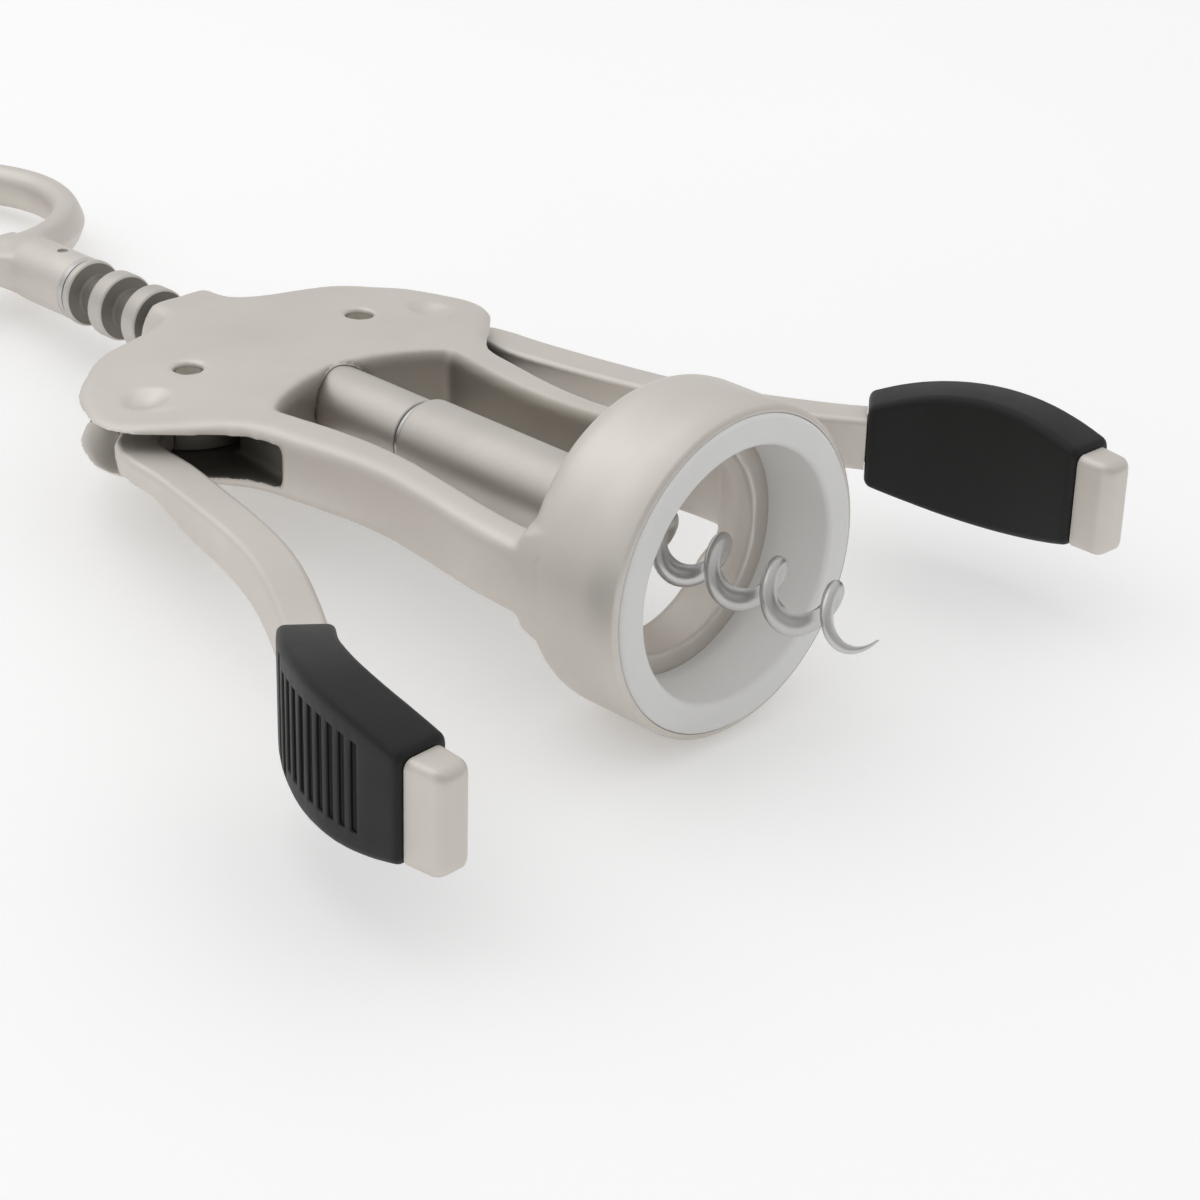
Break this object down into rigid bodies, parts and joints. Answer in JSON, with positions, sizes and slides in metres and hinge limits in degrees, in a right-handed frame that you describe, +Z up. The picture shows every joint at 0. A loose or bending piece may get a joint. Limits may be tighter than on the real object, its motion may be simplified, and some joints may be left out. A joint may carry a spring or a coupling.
{
  "type": "wing corkscrew",
  "caption": "Wing corkscrew: a cast frame with a bell mouth, geared wings with rubber grips, a rack that lifts the worm, and a ring handle with a cap lifter.",
  "frame": {"origin": "on the axis of the screw, where the straight outside wall of the bell begins at the mouth", "axes": "+Y runs along the screw from the mouth to the handle, the wings open in the XY plane, +Z is up out of that plane"},
  "size_m": [0.1264, 0.2138, 0.043],
  "materials": {
    "nickel": "satin nickel plate over a smooth casting",
    "steel": "plain drawn steel",
    "liner_plastic": "smooth white moulded plastic",
    "grip_rubber": "matt black rubber"
  },
  "bodies": {
    "frame": {"frame_casting": "nickel", "bell_liner": "liner_plastic", "left_pivot_pin": "steel", "right_pivot_pin": "steel"},
    "left_wing": {"left_lever": "nickel", "left_grip": "grip_rubber", "left_tip_cap": "nickel"},
    "right_wing": {"right_lever": "nickel", "right_grip": "grip_rubber", "right_tip_cap": "nickel"},
    "rack": {"rack_sleeve": "nickel"},
    "screw": {"spindle": "steel", "upper_washer": "steel", "lower_washer": "steel", "worm_hub": "nickel", "hub_pin": "steel", "worm": "steel", "handle_bow": "nickel", "handle_pin": "steel"}
  },
  "joints": [
    {"name": "left_wing_hinge", "type": "hinge", "parent": "frame", "child": "left_wing", "pos_m": [-0.0153, 0.086, 0], "axis": [0, 0, 1], "range_deg": [-122, 5]},
    {"name": "right_wing_hinge", "type": "hinge", "parent": "frame", "child": "right_wing", "pos_m": [0.0153, 0.086, 0], "axis": [0, 0, 1], "range_deg": [-5, 122]},
    {"name": "rack_slide", "type": "slide", "parent": "frame", "child": "rack", "axis": [0, 1, 0], "range_m": [-0.024, 0.001]},
    {"name": "screw_turn", "type": "hinge", "parent": "rack", "child": "screw", "pos_m": [0, 0.1, 0], "axis": [0, 1, 0], "continuous": true}
  ],
  "couplings": [
    {"joint": "right_wing_hinge", "follows": "left_wing_hinge", "ratio": -1},
    {"joint": "rack_slide", "follows": "left_wing_hinge", "m_per_rad": 0.01125}
  ]
}
